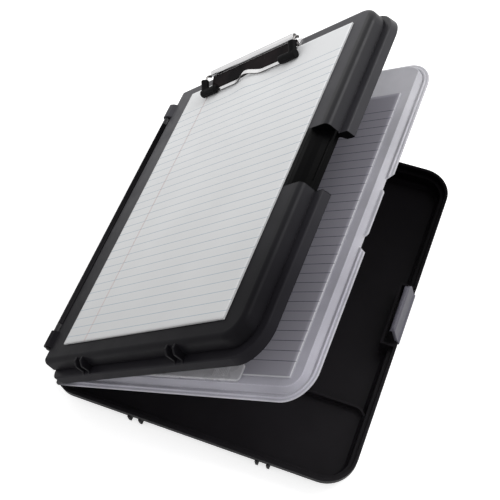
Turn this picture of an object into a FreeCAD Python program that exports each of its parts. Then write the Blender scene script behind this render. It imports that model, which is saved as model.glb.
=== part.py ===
import FreeCAD, Part
import math
import os

# Storage clipboard box, all sizes in millimetres.
# The frame: X runs across the box from the hinge side to the latch side, Y along the box from its
# front edge to its clip edge, Z up from the table. The origin is the middle of the tray's flat base.
# The lid parts are drawn closed and then turned about the hinge axis into the standing open pose.

# Whole box
box_length = 322.0
box_width = 270.5
front_clear = 24.0
wall = 2.2
seam_gap = 0.3
running_gap = 0.05

# Opening angles of the pose
cover_open_angle = 44.1
divider_open_angle = 32.7
latch_lean_angle = 12.0

# Hinge
hinge_offset = 6.0
axis_drop = 1.0
barrel_radius = 3.3
lug_radius = 4.8
lug_length = 15.0
lug_inset = 31.5
lug_web_reach = 8.0
knuckle_length = 8.0
pin_radius = 1.5
pin_head_radius = 3.0
pin_head_height = 1.6
pin_reach_in_barrel = 9.0
head_crown_share = 0.55
head_rim_share = 0.35
spine_thickness = 2.5
spine_web_drop = 9.0
spine_web_thickness = 3.0
hinge_wall_thickness = 1.5
hinge_wall_gap = 0.4

# Tray
tray_depth = 21.0
tray_wall = 2.6
tray_corner = 27.0
tray_hinge_corner = 22.0
tray_skirt_height = 8.5
tray_skirt_draft = 0.8
tray_step = 4.0
tray_draft = 1.6
tray_fillet = 5.0
partition_from_front = 76.0
partition_height = 6.0
partition_thickness = 2.0
partition_bend_radius = 12.0

# Cover
cover_depth = 21.0
cover_corner = 27.0
cover_hinge_corner = 10.0
skirt_height = 7.6
skirt_draft = 1.4
skirt_fillet = 1.2
dome_inset_latch = 8.0
dome_inset_front = 7.5
dome_inset_clip = 2.5
dome_corner = 20.0
dome_draft = 2.0
dome_fillet = 4.6
groove_height = 1.4
groove_depth = 0.9

# Standing ribs on the front walls
rib_thickness = 2.2
cover_rib_places = (58.5, 67.0, 185.5, 195.0)
tray_rib_places = (81.0, 91.0, 197.0, 207.0)
rib_stand_out = 4.2

# Latch, its pocket in the tray and its scoop in the cover
latch_center = 4.0
latch_length = 50.0
latch_height = 21.5
latch_thickness = 2.6
latch_barrel_radius = 2.5
latch_pin_radius = 1.2
latch_pivot_inset = 1.7
latch_pivot_drop = 4.6
latch_hook_reach = 2.4
latch_hook_height = 2.0
latch_big_round = 9.0
latch_small_round = 3.0
latch_end_gap = 0.4
boss_length = 4.0
boss_width = 6.2
pocket_depth = 13.0
pocket_height = 14.0
pocket_wall = 2.0
scoop_length = 54.0
scoop_points = ((26.5, 0.0), (25.4, -2.2), (22.6, -5.6), (18.6, -8.2), (14.0, -9.4))
scoop_back_points = ((28.9, 0.0), (27.4, -3.4), (24.0, -7.6), (19.4, -10.4), (15.4, -11.6))
catch_inset = 8.2
catch_height = 1.6
catch_root_inset = 13.0
catch_slot_inset = 12.4
catch_slot_width = 1.2
catch_slot_length = 40.0

# Divider
divider_skin = 1.2
divider_inset_latch = 1.8
divider_inset_end = 0.8
divider_corner = 26.0
platform_rise = 4.0
platform_foot_inset = 5.4
platform_slope = 4.6
platform_corner = 17.0
platform_back_inset = 4.8
platform_back_corner = 22.0
platform_hinge_inset = 11.0
lip_inset = 2.7
lip_hinge_inset = 7.0
lip_width = 1.6
lip_height = 0.9
notch_depth = 9.6
notch_length = 58.0
notch_slope = 10.0
tab_length = 45.0
tab_reach = 6.6
tab_round = 4.0

# Sheet retainer on the divider
retainer_length = 142.0
retainer_width = 14.0
retainer_skin = 1.0
retainer_foot = 1.2
retainer_round = 3.0
retainer_from_front = 6.5
grip_count = 9
grip_pitch = 1.7
grip_width = 0.7
grip_height = 0.35

# Paper
sheet_width = 215.9
sheet_length = 279.4
stack_height = 1.2
top_sheet_height = 0.12
sheet_from_hinge = 29.5
filler_width = 203.2
filler_length = 266.7
filler_height = 1.3
filler_from_hinge = 53.0
filler_from_front = 17.5

# Clip
clip_from_hinge = 124.8
clip_axis_behind_sheet = 1.8
clip_axis_height = 3.3
clip_steel = 0.9
clip_pin_radius = 1.2
clip_pin_overhang = 1.0
lever_width = 113.0
lever_ear_inset = 1.0
lever_ear_radius = 2.2
base_ear_gap = 3.0
base_ear_radius = 2.2
base_ear_foot = 2.7
base_overhang = 2.0
base_depth = 10.5
base_setback = 1.2
curl_radius = 3.1
curl_back = 3.3
curl_rise = 5.7
plate_foot_front = 11.7
plate_foot_rise = -0.9
jaw_steel = 0.9
jaw_width = 4.4
jaw_front = 16.5
jaw_height = 3.4
jaw_overhang = 6.2
jaw_arch_half = 18.0
jaw_arch_rise = 5.2
jaw_arch_steps = 10
jaw_arm_radius = 0.6
jaw_arm_reach = 12.2
jaw_arm_rise = 7.4
jaw_arm_top = 3.0
jaw_bend_radius = 1.6
jaw_bend_angles = (0.0, math.pi / 6, math.pi / 3, math.pi / 2)
jaw_arm_hold = 6.0
boot_foot_radius = 3.8
boot_leg_radius = 3.6
boot_leg_length = 12.0
boot_foot_length = 17.0
boot_end_bevel = 1.3
rivet_distance = 60.0
rivet_radius = 1.6
rivet_head_radius = 3.2
rivet_head_height = 1.1
rivet_tail_radius = 2.6
spring_turns = 4
spring_coil_radius = 1.8
spring_wire_radius = 0.5
spring_turn_steps = 12
spring_last_steps = 2
wire_sides = 8
spring_base_leg = 8.5
spring_lever_leg = 2.2

# Derived sizes
quarter_share = math.sqrt(0.5)
left = -box_width / 2
right = box_width / 2
front = -box_length / 2
back = box_length / 2
hinge_x = left - hinge_offset
rim_z = tray_depth
flange_low_z = rim_z + seam_gap
flange_top_z = flange_low_z + divider_skin
cover_rim_z = flange_top_z + seam_gap
face_z = cover_rim_z + cover_depth
hinge_z = face_z - axis_drop
ledge_z = cover_rim_z + skirt_height
platform_z = flange_top_z + platform_rise
sheet_front = front + front_clear
sheet_back = sheet_front + sheet_length
clip_x = hinge_x + clip_from_hinge
clip_axis_y = sheet_back + clip_axis_behind_sheet
clip_axis_z = face_z + clip_axis_height
lug_center = back - lug_inset
lever_ear_distance = lever_width - 2 * lever_ear_inset
base_ear_distance = lever_ear_distance - 2 * base_ear_gap
base_width = base_ear_distance + 2 * base_overhang
jaw_half_span = lever_width / 2 + jaw_overhang
knuckle_outer = lug_center - lug_length / 2 - seam_gap
knuckle_inner = knuckle_outer - knuckle_length
barrel_half = knuckle_inner - seam_gap
lug_end = lug_center + lug_length / 2
latch_pivot_x = right - latch_pivot_inset
latch_pivot_z = rim_z - latch_pivot_drop
pocket_half = latch_length / 2 + latch_end_gap + boss_length
lid_margin = 40.0
sink = 0.6
bore_radius = pin_radius + running_gap


def vec(x, y, z):
    return FreeCAD.Vector(x, y, z)


def box_between(x0, x1, y0, y1, z0, z1):
    return Part.makeBox(x1 - x0, y1 - y0, z1 - z0, vec(x0, y0, z0))


def arc_edge(start, center, end):
    """Quarter arc between two points around a center, all at one height."""
    a = start.sub(center)
    b = end.sub(center)
    middle = center.add(a.add(b).multiply(quarter_share))
    return Part.Arc(start, middle, end).toShape()


def outline(sides, corners, z):
    """Closed rounded rectangle. sides = x0, x1, y0, y1; corners = hinge side and latch side radius."""
    x0, x1, y0, y1 = sides
    a, b = corners
    p = [vec(x0 + a, y0, z), vec(x1 - b, y0, z), vec(x1, y0 + b, z), vec(x1, y1 - b, z),
         vec(x1 - b, y1, z), vec(x0 + a, y1, z), vec(x0, y1 - a, z), vec(x0, y0 + a, z)]
    c = [vec(x1 - b, y0 + b, z), vec(x1 - b, y1 - b, z), vec(x0 + a, y1 - a, z), vec(x0 + a, y0 + a, z)]
    edges = [Part.LineSegment(p[0], p[1]).toShape(), arc_edge(p[1], c[0], p[2]),
             Part.LineSegment(p[2], p[3]).toShape(), arc_edge(p[3], c[1], p[4]),
             Part.LineSegment(p[4], p[5]).toShape(), arc_edge(p[5], c[2], p[6]),
             Part.LineSegment(p[6], p[7]).toShape(), arc_edge(p[7], c[3], p[0])]
    return Part.Wire(edges)


def straight_block(sides, corners, z0, z1):
    face = Part.Face(outline(sides, corners, z0))
    return face.extrude(vec(0, 0, z1 - z0))


def drafted_block(sides, corners, z0, z1, inset):
    """Rounded rectangle whose walls lean in by inset from z0 to z1; a negative inset leans them out."""
    x0, x1, y0, y1 = sides
    a, b = corners
    middle = (x0 + x1) / 2
    across = prism_along_x([(y0, z0), (y1, z0), (y1 - inset, z1), (y0 + inset, z1)], x0 + a, x1 - b)
    hinge_half = prism_along_y([(x0, z0), (middle, z0), (middle, z1), (x0 + inset, z1)], y0 + a, y1 - a)
    latch_half = prism_along_y([(middle, z0), (x1, z0), (x1 - inset, z1), (middle, z1)], y0 + b, y1 - b)
    cones = []
    for x, y, radius in ((x0 + a, y0 + a, a), (x0 + a, y1 - a, a), (x1 - b, y0 + b, b), (x1 - b, y1 - b, b)):
        cones.append(Part.makeCone(radius, radius - inset, z1 - z0, vec(x, y, z0)))
    return across.fuse([hinge_half, latch_half] + cones).removeSplitter()


def shrink(sides, by):
    return shrink_each(sides, by, by, by, by)


def shrink_each(sides, hinge_by, latch_by, front_by, back_by):
    x0, x1, y0, y1 = sides
    return (x0 + hinge_by, x1 - latch_by, y0 + front_by, y1 - back_by)


def less(corners, by):
    return (corners[0] - by, corners[1] - by)


def round_edges_at(solid, z, radius):
    """Round every edge that lies wholly at height z."""
    picked = [e for e in solid.Edges if all(abs(v.Z - z) < running_gap for v in e.Vertexes)]
    return solid.makeFillet(radius, picked)


def ease_edges_at(solid, z, size):
    """Bevel every edge at height z, for hidden inner corners."""
    picked = [e for e in solid.Edges if all(abs(v.Z - z) < running_gap for v in e.Vertexes)]
    return solid.makeChamfer(size, picked)


def prism_along_y(points, y0, y1):
    """Solid from (x, z) points, drawn between two Y positions."""
    loop = [vec(x, y0, z) for x, z in points]
    face = Part.Face(Part.makePolygon(loop + [loop[0]]))
    return face.extrude(vec(0, y1 - y0, 0))


def prism_along_x(points, x0, x1):
    """Solid from (y, z) points, drawn between two X positions."""
    loop = [vec(x0, y, z) for y, z in points]
    face = Part.Face(Part.makePolygon(loop + [loop[0]]))
    return face.extrude(vec(x1 - x0, 0, 0))


def rod_along_y(radius, x, z, y0, y1):
    return Part.makeCylinder(radius, y1 - y0, vec(x, y0, z), vec(0, 1, 0))


def rod_along_x(radius, y, z, x0, x1):
    return Part.makeCylinder(radius, x1 - x0, vec(x0, y, z), vec(1, 0, 0))


def rod_up(radius, x, y, z0, z1):
    return Part.makeCylinder(radius, z1 - z0, vec(x, y, z0), vec(0, 0, 1))


def turned(shape, angle, x, z):
    """Copy turned about an axis along Y; a positive angle lifts the latch side."""
    copy = shape.copy()
    copy.rotate(vec(x, 0, z), vec(0, -1, 0), angle)
    return copy


def on_cover(shape):
    return turned(shape, cover_open_angle, hinge_x, hinge_z)


def on_divider(shape):
    return turned(shape, divider_open_angle, hinge_x, hinge_z)


def save(name, shape):
    clean = shape.removeSplitter()
    solids = clean.Solids
    clean = solids[0] if len(solids) == 1 else clean
    clean.exportStep("parts/" + name + ".step")


# Tray

def tray_outer():
    full = (left, right, front, back)
    corners = (tray_hinge_corner, tray_corner)
    skirt_z = rim_z - tray_skirt_height
    skirt = drafted_block(shrink(full, tray_skirt_draft), less(corners, tray_skirt_draft),
                          skirt_z, rim_z, -tray_skirt_draft)
    inset = tray_step + tray_draft
    base = drafted_block(shrink(full, inset), less(corners, inset), 0, skirt_z, -tray_draft)
    base = round_edges_at(base, 0, tray_fillet)
    return base.fuse(skirt)


def tray_hollow():
    full = shrink((left, right, front, back), tray_wall)
    corners = less((tray_hinge_corner, tray_corner), tray_wall)
    skirt_z = rim_z - tray_skirt_height + tray_wall
    skirt = drafted_block(shrink(full, tray_skirt_draft), less(corners, tray_skirt_draft),
                          skirt_z, rim_z, -tray_skirt_draft)
    inset = tray_step + tray_draft
    base = drafted_block(shrink(full, inset), less(corners, inset), wall, skirt_z, -tray_draft)
    base = ease_edges_at(base, wall, tray_fillet - wall)
    return base.fuse(skirt)


def tray_partition():
    """Low wall that parts off the long front compartment, its latch end bent forward."""
    y = front + partition_from_front
    x_end = right - tray_wall - tray_step - partition_bend_radius
    x_start = left + tray_wall
    half = partition_thickness / 2
    top = wall + partition_height
    low = wall - sink
    straight = box_between(x_start, x_end, y - half, y + half, low, top)
    y_center = y - partition_bend_radius
    outer = rod_up(partition_bend_radius + half, x_end, y_center, low, top)
    inner = rod_up(partition_bend_radius - half, x_end, y_center, low, top)
    reach = partition_bend_radius + half
    quarter = box_between(x_end, x_end + reach, y_center, y_center + reach, low, top)
    return straight.fuse(outer.cut(inner).common(quarter))


def tray_ribs():
    """Two pairs of short standing ribs on the front wall, under the skirt."""
    y_wall = front + tray_step + sink
    y_out = front + tray_step - rib_stand_out
    high = rim_z - tray_skirt_height + sink
    points = [(y_wall, high), (y_out, high), (y_out, high - rib_stand_out), (y_out + sink, wall + sink),
              (y_out + rib_stand_out, wall), (y_wall + tray_draft, wall)]
    ribs = []
    for place in tray_rib_places:
        x = hinge_x + place
        ribs.append(prism_along_x(points, x - rib_thickness / 2, x + rib_thickness / 2))
    return ribs


def tray_spine():
    """Raised back wall outside the tray that carries the long hinge barrel."""
    barrel = rod_along_y(barrel_radius, hinge_x, hinge_z, -barrel_half, barrel_half)
    x_out = hinge_x - barrel_radius
    web_top = rim_z - spine_web_drop
    web_low = web_top - spine_web_thickness
    plate = box_between(x_out, x_out + spine_thickness, -barrel_half, barrel_half, web_low, hinge_z)
    web = box_between(x_out, left + tray_step + tray_wall / 2, -barrel_half, barrel_half, web_low, web_top)
    return barrel.fuse(plate).fuse(web)


def latch_pocket_block():
    y0 = latch_center - pocket_half - pocket_wall
    y1 = latch_center + pocket_half + pocket_wall
    x0 = right - pocket_depth - pocket_wall
    return box_between(x0, right - tray_wall, y0, y1, wall - sink, rim_z)


def latch_pocket_hollow():
    y0 = latch_center - pocket_half
    y1 = latch_center + pocket_half
    return box_between(right - pocket_depth, right + lid_margin, y0, y1,
                       rim_z - pocket_height, rim_z + lid_margin)


def latch_bosses():
    blocks = []
    for side in (-1, 1):
        a = latch_center + side * (latch_length / 2 + latch_end_gap)
        b = latch_center + side * (pocket_half + sink)
        blocks.append(box_between(right - boss_width, right - sink, min(a, b), max(a, b),
                                  latch_pivot_z - boss_width / 2, latch_pivot_z + boss_width / 2))
    return blocks


def make_tray():
    body = tray_outer()
    body = body.fuse(tray_ribs())
    body = body.cut(tray_hollow())
    inner = tray_hollow()
    body = body.fuse(tray_partition())
    body = body.fuse(latch_pocket_block().common(inner.fuse(tray_outer())))
    body = body.cut(latch_pocket_hollow())
    body = body.fuse(latch_bosses())
    body = body.fuse(tray_spine())
    bores = [rod_along_y(latch_pin_radius, latch_pivot_x, latch_pivot_z,
                         latch_center - pocket_half, latch_center + pocket_half)]
    reach = pin_reach_in_barrel + running_gap
    for side in (-1, 1):
        a = side * barrel_half
        b = side * (barrel_half - reach)
        bores.append(rod_along_y(pin_radius, hinge_x, hinge_z, min(a, b), max(a, b)))
    return body.cut(bores)


# Cover

def cover_outer():
    full = (left - lid_margin, right, front, back)
    corners = (cover_hinge_corner, cover_corner)
    skirt = drafted_block(full, corners, cover_rim_z, ledge_z, skirt_draft)
    skirt = round_edges_at(skirt, ledge_z, skirt_fillet)
    foot = shrink_each(full, 0, dome_inset_latch, dome_inset_front, dome_inset_clip)
    foot_corners = (cover_hinge_corner, dome_corner)
    dome = drafted_block(foot, foot_corners, cover_rim_z, face_z, dome_draft)
    dome = round_edges_at(dome, face_z, dome_fillet)
    ring_outer = straight_block(shrink(foot, -lid_margin / 2), less(foot_corners, -lid_margin / 2),
                                ledge_z, ledge_z + groove_height)
    groove_floor = shrink(foot, groove_depth + dome_draft / 2)
    floor_corners = less(foot_corners, groove_depth)
    ring_inner = straight_block(groove_floor, floor_corners, ledge_z, ledge_z + groove_height)
    dome = dome.cut(ring_outer.cut(ring_inner))
    hinge_side = straight_block((left, right, front, back), (cover_hinge_corner, sink), cover_rim_z, face_z)
    return skirt.fuse(dome).common(hinge_side)


def cover_hollow():
    full = shrink_each((left, right, front, back), wall, wall, wall, wall)
    corners = (cover_hinge_corner - wall, cover_corner - wall)
    high = ledge_z - wall
    skirt = drafted_block(full, corners, cover_rim_z, high, skirt_draft)
    foot = shrink_each(full, 0, dome_inset_latch, dome_inset_front, dome_inset_clip)
    foot_corners = (cover_hinge_corner - wall, dome_corner - wall)
    dome = drafted_block(foot, foot_corners, cover_rim_z, face_z - wall, dome_draft)
    dome = ease_edges_at(dome, face_z - wall, dome_fillet - wall)
    return skirt.fuse(dome)


def cover_ribs():
    """Two pairs of hooked ribs that step down the front wall of the cover."""
    foot = front + dome_inset_front
    top = face_z - sink
    points = [(foot + dome_fillet, top - sink), (foot - sink, top - sink),
              (foot - rib_stand_out, top - rib_stand_out), (foot - rib_stand_out, ledge_z + groove_height),
              (front + skirt_draft, ledge_z),
              (front + sink, ledge_z - rib_stand_out), (front + dome_inset_front, ledge_z - rib_stand_out)]
    ribs = []
    for place in cover_rib_places:
        x = hinge_x + place
        ribs.append(prism_along_x(points, x - rib_thickness / 2, x + rib_thickness / 2))
    return ribs


def scoop_points_at(table):
    return [(right - inset, face_z + drop) for inset, drop in table]


def scoop_cut():
    """Room for the latch: a curved floor, a lip that its hook grips, and the undercut below the lip."""
    half = scoop_length / 2
    points = scoop_points_at(scoop_points)
    lip_z = points[-1][1]
    points[0] = (points[0][0], face_z + sink)
    points.append((right - catch_inset, lip_z))
    points.append((right - catch_inset, lip_z - catch_height))
    points.append((right - catch_root_inset, lip_z - catch_height))
    points.append((right - catch_root_inset, cover_rim_z - sink))
    points.append((right + lid_margin, cover_rim_z - sink))
    points.append((right + lid_margin, face_z + sink))
    return prism_along_y(points, latch_center - half, latch_center + half)


def scoop_backing(hull):
    """Wall that closes the cover behind the scoop, with an end wall each side."""
    half = scoop_length / 2 + wall
    points = scoop_points_at(scoop_back_points)
    x_low = points[-1][0]
    points.append((x_low, cover_rim_z))
    points.append((right + lid_margin, cover_rim_z))
    points.append((right + lid_margin, face_z))
    block = prism_along_y(points, latch_center - half, latch_center + half)
    return block.common(hull)


def catch_slot():
    """Slot behind the lip, so the lip can flex as the hook snaps over it."""
    x = right - catch_slot_inset
    half = catch_slot_length / 2
    high = scoop_points_at(scoop_points)[-1][1] + sink
    low = high - catch_height - 2 * sink
    return box_between(x, x + catch_slot_width, latch_center - half, latch_center + half, low, high)


def cover_lugs():
    """Two lugs standing out past the hinge edge, each bored for its pin."""
    lugs = []
    web = [(hinge_x, hinge_z - lug_radius), (hinge_x, hinge_z + lug_radius),
           (hinge_x + lug_web_reach / 2, hinge_z + lug_radius - axis_drop),
           (hinge_x + lug_web_reach, face_z), (hinge_x + lug_web_reach, hinge_z - lug_radius)]
    for side in (-1, 1):
        y0 = side * lug_center - lug_length / 2
        y1 = side * lug_center + lug_length / 2
        lug = rod_along_y(lug_radius, hinge_x, hinge_z, y0, y1).fuse(prism_along_y(web, y0, y1))
        lugs.append(lug)
    return lugs


def make_cover():
    hull = cover_outer()
    body = hull.fuse(cover_ribs())
    body = body.cut(cover_hollow())
    body = body.fuse(scoop_backing(hull))
    platform_room = divider_platform(-seam_gap, cover_rim_z - sink, platform_z + seam_gap)
    body = body.cut([scoop_cut(), catch_slot(), platform_room])
    body = body.fuse(cover_lugs())
    holes = []
    for side in (-1, 1):
        y0 = side * lug_center - lug_length
        holes.append(rod_along_y(bore_radius, hinge_x, hinge_z, y0, y0 + 2 * lug_length))
        x = clip_x + side * rivet_distance / 2
        holes.append(rod_up(rivet_radius, x, rivet_y(), face_z - wall - sink, face_z + sink))
    return body.cut(holes)


# Divider

def divider_sides():
    x0 = hinge_x + barrel_radius + hinge_wall_gap - hinge_wall_gap / 2
    return (x0, right - divider_inset_latch, front + divider_inset_end, back - divider_inset_end)


def divider_platform(offset, low, high):
    """Raised table of the divider, sloping on three sides and upright along the clip edge."""
    base = divider_sides()
    foot = shrink_each(base, platform_hinge_inset, platform_foot_inset, platform_foot_inset, -platform_slope)
    sloped = drafted_block(shrink(foot, offset), less((platform_corner, platform_corner), offset),
                           low, high, platform_slope)
    bound = shrink_each(base, platform_hinge_inset - sink, platform_foot_inset - sink, -platform_slope,
                        platform_back_inset)
    corners = less((platform_corner, platform_back_corner), offset)
    return sloped.common(straight_block(shrink(bound, offset), corners, low, high))


def divider_notch():
    """Trapezoid cut in the latch side of the flange, with a thumb tab left standing in it."""
    x_in = right - divider_inset_latch - notch_depth
    half = notch_length / 2
    loop = [vec(x_in, latch_center - half, flange_low_z - sink),
            vec(right + sink, latch_center - half - notch_slope, flange_low_z - sink),
            vec(right + sink, latch_center + half + notch_slope, flange_low_z - sink),
            vec(x_in, latch_center + half, flange_low_z - sink)]
    face = Part.Face(Part.makePolygon(loop + [loop[0]]))
    cut = face.extrude(vec(0, 0, platform_rise + divider_skin + 2 * sink))
    return cut


def divider_tab():
    x_in = right - divider_inset_latch - notch_depth
    half = tab_length / 2
    sides = (x_in - tab_reach, x_in + tab_reach, latch_center - half, latch_center + half)
    return straight_block(sides, (tab_round, tab_round), flange_low_z, flange_top_z)


def make_divider():
    base = divider_sides()
    corners = (tab_round, divider_corner)
    flange = straight_block(base, corners, flange_low_z, flange_top_z)
    lip_out = shrink_each(base, lip_hinge_inset, lip_inset, lip_inset, lip_inset)
    lip_top = flange_top_z + lip_height
    lip = straight_block(lip_out, (tab_round, divider_corner - lip_inset), flange_top_z - sink, lip_top)
    lip_in = shrink(lip_out, lip_width)
    hole_corners = (tab_round / 2, divider_corner - lip_inset - lip_width)
    hole = straight_block(lip_in, hole_corners, flange_top_z - sink, lip_top)
    body = flange.fuse(lip.cut(hole))
    body = body.fuse(divider_platform(0, flange_low_z, platform_z))
    body = body.cut(divider_platform(divider_skin, flange_low_z, platform_z - divider_skin))
    keep = divider_platform(0, flange_low_z, platform_z)
    body = body.cut(divider_notch().cut(keep))
    body = body.fuse(divider_tab().cut(keep))
    x0 = base[0]
    upright = box_between(x0, x0 + hinge_wall_thickness, -knuckle_outer, knuckle_outer,
                          flange_low_z, hinge_z - barrel_radius - seam_gap)
    body = body.fuse(upright)
    for side in (-1, 1):
        a = side * knuckle_inner
        b = side * knuckle_outer
        y0 = min(a, b)
        y1 = max(a, b)
        knuckle = rod_along_y(barrel_radius, hinge_x, hinge_z, y0, y1)
        arm = box_between(hinge_x, x0 + hinge_wall_thickness, y0, y1, hinge_z - barrel_radius, hinge_z)
        post_low = hinge_z - lug_radius - barrel_radius
        post = box_between(x0, x0 + hinge_wall_thickness, y0, y1, post_low, hinge_z)
        body = body.fuse([knuckle, arm, post])
        body = body.cut(rod_along_y(bore_radius, hinge_x, hinge_z, y0 - sink, y1 + sink))
    return body


def make_retainer():
    """Thin springy strip over the front edge of the filed sheets, with a fine grip near its latch end."""
    y0 = front + divider_inset_end + platform_foot_inset + platform_slope + retainer_foot
    y0 = max(y0, front + retainer_from_front)
    x_mid = (left + right) / 2
    x0 = x_mid - retainer_length / 2
    x1 = x_mid + retainer_length / 2
    low = platform_z + filler_height + seam_gap
    high = low + retainer_skin
    plate = straight_block((x0, x1, y0, y0 + retainer_width), (retainer_round, retainer_round), low, high)
    foot = box_between(x0 + retainer_round, x1 - retainer_round, y0, y0 + retainer_foot, platform_z, high)
    body = plate.fuse(foot)
    for step in range(grip_count):
        x = x1 - retainer_width - step * grip_pitch
        body = body.fuse(box_between(x, x + grip_width, y0 + retainer_width / 4, y0 + retainer_width * 3 / 4,
                                     high - sink / 2, high + grip_height))
    return body


def make_filler_stack():
    x0 = hinge_x + filler_from_hinge
    y0 = front + filler_from_front
    high = platform_z + filler_height - top_sheet_height
    return box_between(x0, x0 + filler_width, y0, y0 + filler_length, platform_z, high)


def make_filler_top():
    x0 = hinge_x + filler_from_hinge
    y0 = front + filler_from_front
    high = platform_z + filler_height
    return box_between(x0, x0 + filler_width, y0, y0 + filler_length, high - top_sheet_height, high)


# Heads of pins and rivets

def beveled_head(radius, height, base, direction):
    """Low head turned about its own axis: an upright rim, a wide bevel and a flat crown."""
    profile = [vec(0, 0, 0), vec(radius, 0, 0), vec(radius, 0, height * head_rim_share),
               vec(radius * head_crown_share, 0, height), vec(0, 0, height)]
    face = Part.Face(Part.makePolygon(profile + [profile[0]]))
    head = face.revolve(vec(0, 0, 0), vec(0, 0, 1), 360)
    head.Placement = FreeCAD.Placement(base, FreeCAD.Rotation(vec(0, 0, 1), direction))
    return head


# Hinge pins and latch

def make_hinge_pin(side):
    outer = side * (lug_end + running_gap)
    inner = side * (barrel_half - pin_reach_in_barrel)
    shank = rod_along_y(pin_radius, hinge_x, hinge_z, min(outer, inner), max(outer, inner))
    head = beveled_head(pin_head_radius, pin_head_height, vec(hinge_x, outer, hinge_z), vec(0, side, 0))
    return shank.fuse(head)


def latch_face_outline():
    """Side view of the latch plate in (y, z), big round at its clip end, small round at its front end."""
    y0 = latch_center - latch_length / 2
    y1 = latch_center + latch_length / 2
    z0 = latch_pivot_z - latch_barrel_radius
    z1 = latch_pivot_z + latch_height
    x = right - lid_margin
    big = latch_big_round
    small = latch_small_round
    a = vec(x, y0, z1 - small)
    b = vec(x, y0 + small, z1)
    c = vec(x, y1 - big, z1)
    d = vec(x, y1, z1 - big)
    mid_small = vec(x, y0 + small * (1 - quarter_share), z1 - small * (1 - quarter_share))
    mid_big = vec(x, y1 - big * (1 - quarter_share), z1 - big * (1 - quarter_share))
    edges = [Part.LineSegment(vec(x, y1, z0), vec(x, y0, z0)).toShape(),
             Part.LineSegment(vec(x, y0, z0), a).toShape(),
             Part.Arc(a, mid_small, b).toShape(),
             Part.LineSegment(b, c).toShape(),
             Part.Arc(c, mid_big, d).toShape(),
             Part.LineSegment(d, vec(x, y1, z0)).toShape()]
    return Part.Face(Part.Wire(edges)).extrude(vec(2 * lid_margin, 0, 0))


def make_latch():
    """Hooked latch plate on a barrel, drawn upright and then leant inward."""
    half = latch_thickness / 2
    x = latch_pivot_x
    top = latch_pivot_z + latch_height
    hook_low = top - latch_hook_height
    y0 = latch_center - latch_length / 2
    y1 = latch_center + latch_length / 2
    points = [(x - half, latch_pivot_z), (x + half, latch_pivot_z), (x + half, top - half), (x, top),
              (x - half - latch_hook_reach / 2, top), (x - half - latch_hook_reach, hook_low),
              (x - half, hook_low)]
    plate = prism_along_y(points, y0, y1)
    barrel = rod_along_y(latch_barrel_radius, x, latch_pivot_z, y0, y1)
    body = plate.fuse(barrel).common(latch_face_outline())
    body = body.cut(rod_along_y(latch_pin_radius + running_gap, x, latch_pivot_z, y0 - sink, y1 + sink))
    return turned(body, latch_lean_angle, latch_pivot_x, latch_pivot_z)


def make_latch_pin():
    return rod_along_y(latch_pin_radius, latch_pivot_x, latch_pivot_z, latch_center - pocket_half,
                       latch_center + pocket_half)


# Writing sheets

def make_writing_stack():
    x0 = hinge_x + sheet_from_hinge
    high = face_z + stack_height - top_sheet_height
    return box_between(x0, x0 + sheet_width, sheet_front, sheet_back, face_z, high)


def make_writing_top():
    x0 = hinge_x + sheet_from_hinge
    high = face_z + stack_height
    return box_between(x0, x0 + sheet_width, sheet_front, sheet_back, high - top_sheet_height, high)


# Clip

def rivet_y():
    return sheet_back + base_setback + base_depth / 2


def make_clip_base():
    """Flat base plate behind the paper with two upright ears that carry the axle."""
    y0 = sheet_back + base_setback
    y1 = y0 + base_depth
    high = face_z + clip_steel
    body = straight_block((clip_x - base_width / 2, clip_x + base_width / 2, y0, y1),
                          (clip_steel, clip_steel), face_z, high)
    arm = [(y0, face_z), (clip_axis_y - base_ear_radius, clip_axis_z),
           (clip_axis_y + base_ear_radius, clip_axis_z), (clip_axis_y + base_ear_foot, face_z)]
    for side in (-1, 1):
        x = clip_x + side * base_ear_distance / 2 - clip_steel / 2
        ear = prism_along_x(arm, x, x + clip_steel)
        ear = ear.fuse(rod_along_x(base_ear_radius, clip_axis_y, clip_axis_z, x, x + clip_steel))
        axle = rod_along_x(clip_pin_radius, clip_axis_y, clip_axis_z, x - sink, x + clip_steel + sink)
        x_rivet = clip_x + side * rivet_distance / 2
        rivet = rod_up(rivet_radius, x_rivet, rivet_y(), face_z - sink, high + sink)
        body = body.fuse(ear).cut([axle, rivet])
    return body


def make_clip_rivet(side):
    x = clip_x + side * rivet_distance / 2
    y = rivet_y()
    top = face_z + clip_steel
    shank = rod_up(rivet_radius, x, y, face_z - wall, top)
    head = beveled_head(rivet_head_radius, rivet_head_height, vec(x, y, top), vec(0, 0, 1))
    tail = rod_up(rivet_tail_radius, x, y, face_z - wall - clip_steel, face_z - wall)
    return shank.fuse(head).fuse(tail)


def make_clip_pin():
    reach = lever_ear_distance / 2 + clip_pin_overhang
    return rod_along_x(clip_pin_radius, clip_axis_y, clip_axis_z, clip_x - reach, clip_x + reach)


def curl_y():
    return clip_axis_y + curl_back


def curl_z():
    return clip_axis_z + curl_rise


def lever_section():
    """Sloping plate of the lever as (y, z) points, from its low front edge up to the curl."""
    y_foot = clip_axis_y - plate_foot_front
    z_foot = clip_axis_z + plate_foot_rise
    y_top = curl_y() - curl_radius * quarter_share
    z_top = curl_z() - curl_radius * quarter_share
    return [(y_foot, z_foot), (y_top, z_top - clip_steel / 2), (y_top, z_top + clip_steel),
            (y_foot, z_foot + clip_steel)]


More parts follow.
